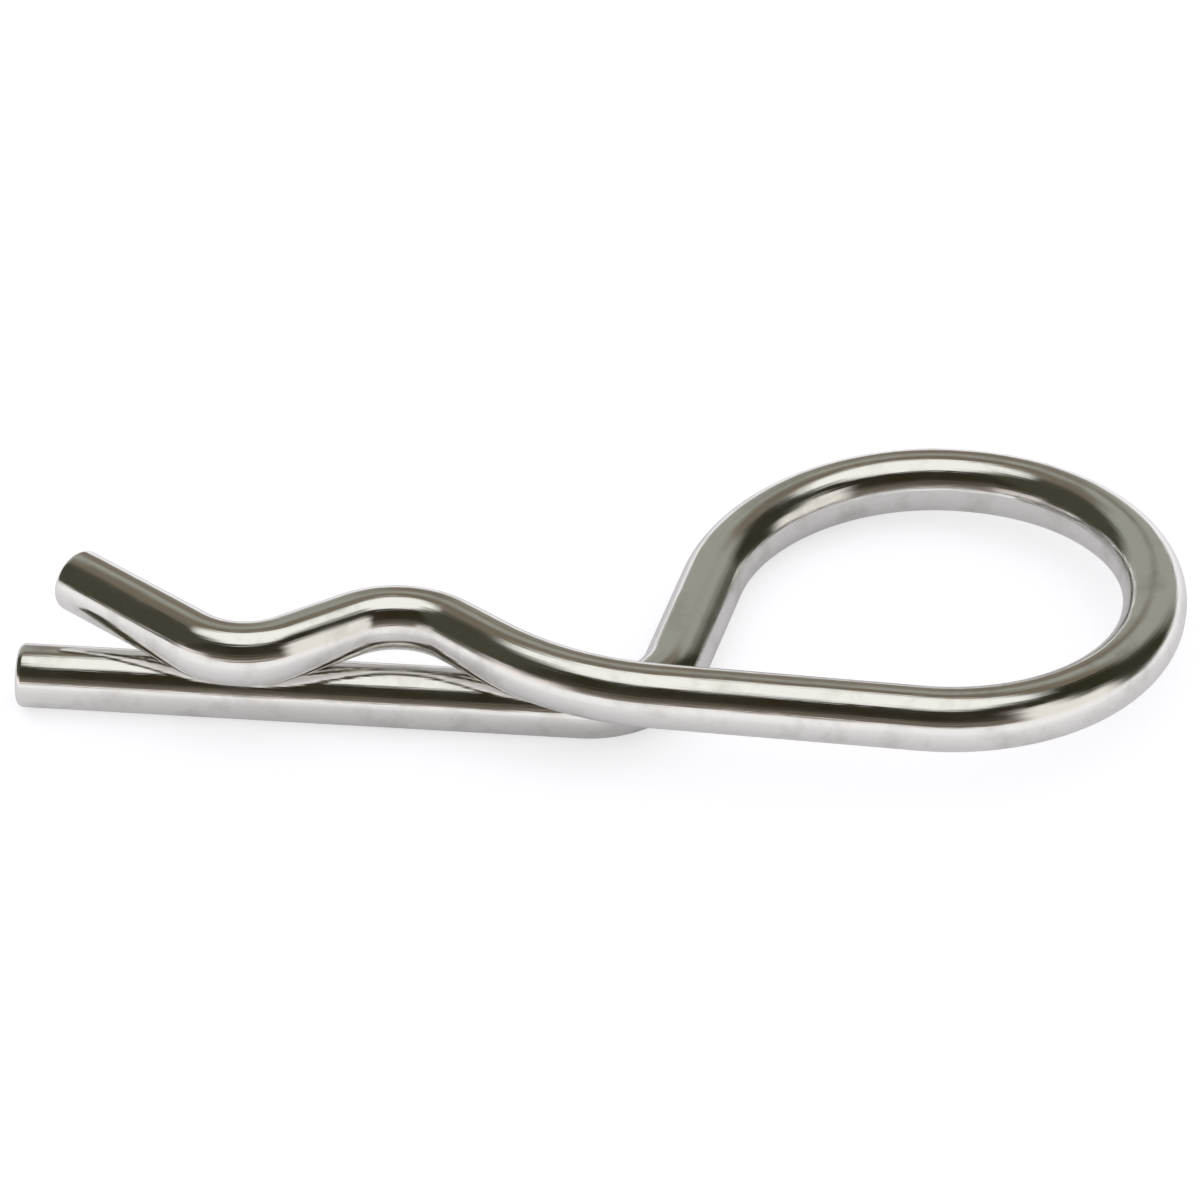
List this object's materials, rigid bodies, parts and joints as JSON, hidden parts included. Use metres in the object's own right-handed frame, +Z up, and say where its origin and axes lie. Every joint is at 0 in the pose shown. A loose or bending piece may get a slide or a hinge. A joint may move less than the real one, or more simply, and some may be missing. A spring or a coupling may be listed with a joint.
{
  "type": "hitch r clip pin",
  "caption": "Hitch pin clip bent from bright round spring wire: a straight leg, a round pull ring, and a wavy leg with a flared tip that crosses over it.",
  "frame": {"origin": "middle of the underside of the clip's box, on the floor it lies on", "axes": "+X runs along the straight leg from its cut end to the pull ring, +Y to the side of the leg that the ring's bulk stands on, +Z up out of the table, from the straight leg to the wavy leg"},
  "size_m": [0.0718, 0.032, 0.0081],
  "materials": {
    "plated_wire": "bright"
  },
  "bodies": {
    "root": {"clip_wire": "plated_wire"}
  },
  "joints": []
}
